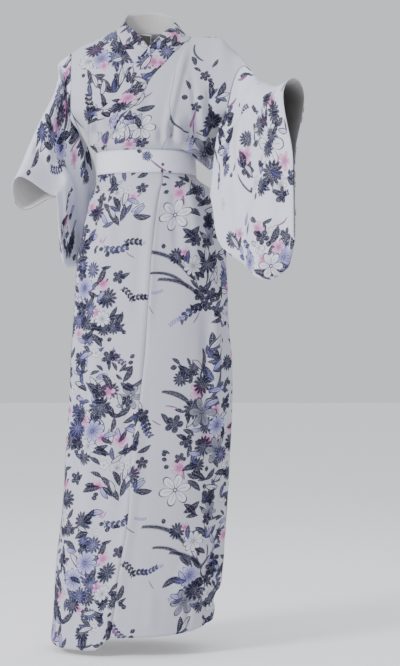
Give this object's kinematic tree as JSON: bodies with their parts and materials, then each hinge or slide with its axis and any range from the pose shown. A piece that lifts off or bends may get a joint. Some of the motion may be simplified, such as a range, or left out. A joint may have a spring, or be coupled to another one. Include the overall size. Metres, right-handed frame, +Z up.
{
  "type": "yukata robe",
  "caption": "Ankle-length cotton yukata with bag sleeves, crossed front, collar band and tied belt, shown worn and hollow; drapes from the shoulders.",
  "frame": {"origin": "between the shoulders, where the wearer holds the robe up", "axes": "+Z up, the robe faces -Y, +X towards the wearer's left sleeve"},
  "size_m": [0.6353, 0.542, 1.4278],
  "materials": {
    "body_left": "printed plain-weave cotton",
    "body_right": "printed plain-weave cotton",
    "overlap_left": "printed plain-weave cotton",
    "overlap_right": "printed plain-weave cotton",
    "collar": "printed plain-weave cotton, doubled",
    "sleeve_left": "printed plain-weave cotton",
    "sleeve_right": "printed plain-weave cotton",
    "belt": "plain-weave cotton"
  },
  "bodies": {
    "root": {"body_left": "body_left", "body_right": "body_right", "overlap_left": "overlap_left", "overlap_right": "overlap_right", "collar": "collar", "sleeve_left": "sleeve_left", "sleeve_right": "sleeve_right", "belt": "belt"}
  },
  "joints": []
}
